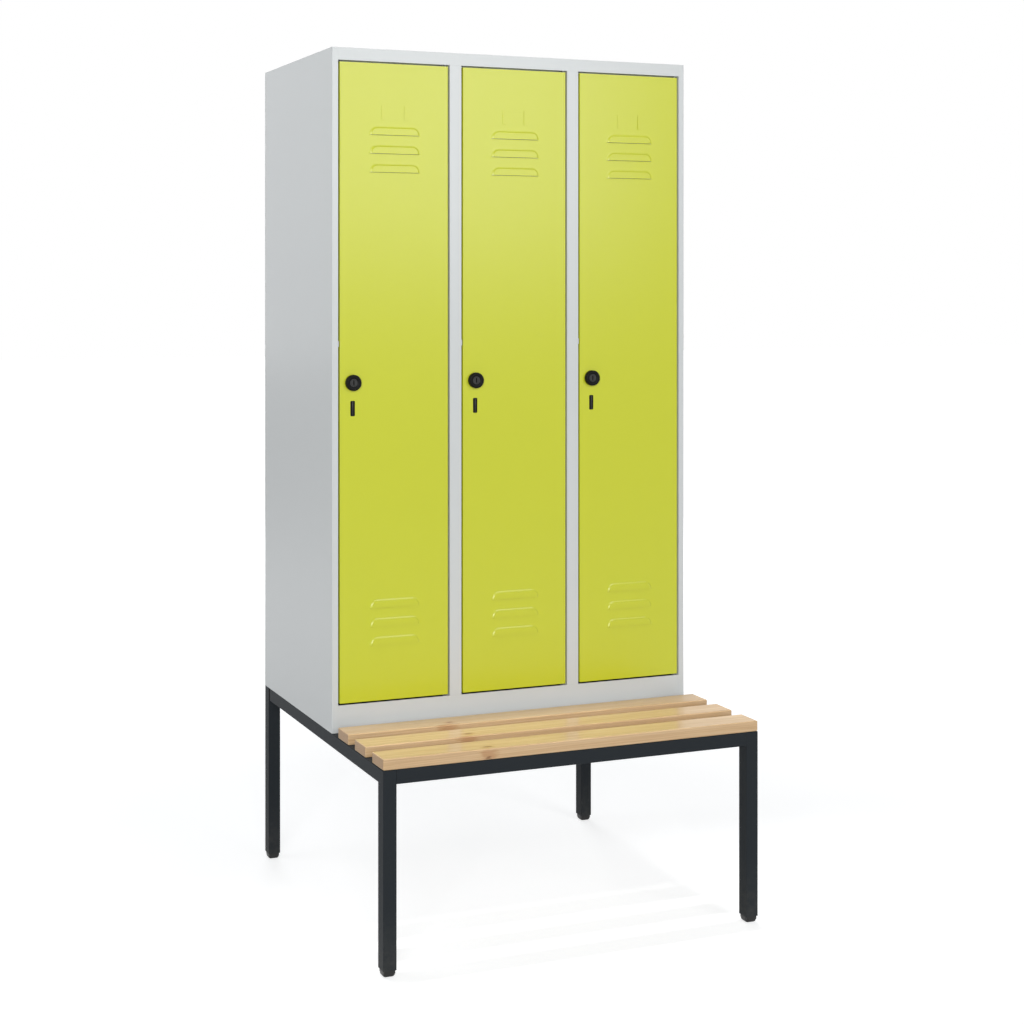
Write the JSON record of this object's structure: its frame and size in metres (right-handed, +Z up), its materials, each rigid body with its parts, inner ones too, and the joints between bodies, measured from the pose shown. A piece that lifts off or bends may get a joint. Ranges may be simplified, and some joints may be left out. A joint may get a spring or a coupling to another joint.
{
  "type": "locker with bench",
  "caption": "Steel clothes locker with vented lockable doors, standing on a square-tube bench frame with a wooden slatted seat in front.",
  "frame": {"origin": "on the floor, in the middle of the width and of the whole depth, bench included", "axes": "+Z up, +X to the right seen from the front, +Y to the back, so the doors and the bench look along -Y"},
  "size_m": [0.9, 0.815, 1.9573],
  "materials": {
    "grey_paint": "fine satin powder coat",
    "green_paint": "satin powder coat",
    "dark_paint": "fine satin powder coat",
    "lacquered_beech": "clear satin lacquer",
    "black_plastic": "moulded, slightly glossy",
    "grey_plastic": "moulded, matt",
    "zinc_plated_steel": "zinc plated"
  },
  "bodies": {
    "root": {"side_frame_left": "dark_paint", "side_frame_right": "dark_paint", "cross_rail_front": "dark_paint", "cross_rail_middle": "dark_paint", "cross_rail_rear": "dark_paint", "foot_front_left": "black_plastic", "foot_front_right": "black_plastic", "foot_rear_left": "black_plastic", "foot_rear_right": "black_plastic", "slat_front": "lacquered_beech", "slat_middle": "lacquered_beech", "slat_rear": "lacquered_beech", "side_panel_left": "grey_paint", "side_panel_right": "grey_paint", "partition_1": "grey_paint", "partition_2": "grey_paint", "head_rail": "grey_paint", "sill_rail": "grey_paint", "roof_panel": "grey_paint", "floor_panel": "grey_paint", "back_panel": "grey_paint", "hat_shelf_left": "grey_paint", "hat_shelf_centre": "grey_paint", "hat_shelf_right": "grey_paint", "coat_rail_left": "zinc_plated_steel", "coat_rail_centre": "zinc_plated_steel", "coat_rail_right": "zinc_plated_steel", "door_buffer_left": "grey_plastic", "door_buffer_centre": "grey_plastic", "door_buffer_right": "grey_plastic", "hinge_pin_lower_left": "zinc_plated_steel", "hinge_pin_lower_centre": "zinc_plated_steel", "hinge_pin_lower_right": "zinc_plated_steel", "hinge_pin_upper_left": "zinc_plated_steel", "hinge_pin_upper_centre": "zinc_plated_steel", "hinge_pin_upper_right": "zinc_plated_steel"},
    "door_leaf_left": {"door_left": "green_paint", "door_stiffener_left": "green_paint", "lock_housing_left": "black_plastic", "slot_plug_left": "black_plastic"},
    "door_leaf_centre": {"door_centre": "green_paint", "door_stiffener_centre": "green_paint", "lock_housing_centre": "black_plastic", "slot_plug_centre": "black_plastic"},
    "door_leaf_right": {"door_right": "green_paint", "door_stiffener_right": "green_paint", "lock_housing_right": "black_plastic", "slot_plug_right": "black_plastic"},
    "lock_left": {"lock_cylinder_left": "black_plastic", "lock_cam_left": "zinc_plated_steel"},
    "lock_centre": {"lock_cylinder_centre": "black_plastic", "lock_cam_centre": "zinc_plated_steel"},
    "lock_right": {"lock_cylinder_right": "black_plastic", "lock_cam_right": "zinc_plated_steel"},
    "hook_left_left": {"coat_hook_left_left": "zinc_plated_steel"},
    "hook_left_right": {"coat_hook_left_right": "zinc_plated_steel"},
    "hook_centre_left": {"coat_hook_centre_left": "zinc_plated_steel"},
    "hook_centre_right": {"coat_hook_centre_right": "zinc_plated_steel"},
    "hook_right_left": {"coat_hook_right_left": "zinc_plated_steel"},
    "hook_right_right": {"coat_hook_right_right": "zinc_plated_steel"}
  },
  "joints": [
    {"name": "door_hinge_left", "type": "hinge", "parent": "root", "child": "door_leaf_left", "pos_m": [-0.1735, -0.0865, 0.4923], "axis": [0, 0, 1], "range_deg": [0, 105]},
    {"name": "door_hinge_centre", "type": "hinge", "parent": "root", "child": "door_leaf_centre", "pos_m": [0.1265, -0.0865, 0.4923], "axis": [0, 0, 1], "range_deg": [0, 105]},
    {"name": "door_hinge_right", "type": "hinge", "parent": "root", "child": "door_leaf_right", "pos_m": [0.4265, -0.0865, 0.4923], "axis": [0, 0, 1], "range_deg": [0, 105]},
    {"name": "lock_turn_left", "type": "hinge", "parent": "door_leaf_left", "child": "lock_left", "pos_m": [-0.4009, -0.0925, 1.2078], "axis": [0, 1, 0], "range_deg": [0, 90]},
    {"name": "lock_turn_centre", "type": "hinge", "parent": "door_leaf_centre", "child": "lock_centre", "pos_m": [-0.1009, -0.0925, 1.2078], "axis": [0, 1, 0], "range_deg": [0, 90]},
    {"name": "lock_turn_right", "type": "hinge", "parent": "door_leaf_right", "child": "lock_right", "pos_m": [0.1991, -0.0925, 1.2078], "axis": [0, 1, 0], "range_deg": [0, 90]},
    {"name": "hook_slide_left_left", "type": "slide", "parent": "root", "child": "hook_left_left", "axis": [1, 0, 0], "range_m": [-0.075, 0.05]},
    {"name": "hook_slide_left_right", "type": "slide", "parent": "root", "child": "hook_left_right", "axis": [1, 0, 0], "range_m": [-0.05, 0.075]},
    {"name": "hook_slide_centre_left", "type": "slide", "parent": "root", "child": "hook_centre_left", "axis": [1, 0, 0], "range_m": [-0.075, 0.05]},
    {"name": "hook_slide_centre_right", "type": "slide", "parent": "root", "child": "hook_centre_right", "axis": [1, 0, 0], "range_m": [-0.05, 0.075]},
    {"name": "hook_slide_right_left", "type": "slide", "parent": "root", "child": "hook_right_left", "axis": [1, 0, 0], "range_m": [-0.075, 0.05]},
    {"name": "hook_slide_right_right", "type": "slide", "parent": "root", "child": "hook_right_right", "axis": [1, 0, 0], "range_m": [-0.05, 0.075]}
  ]
}
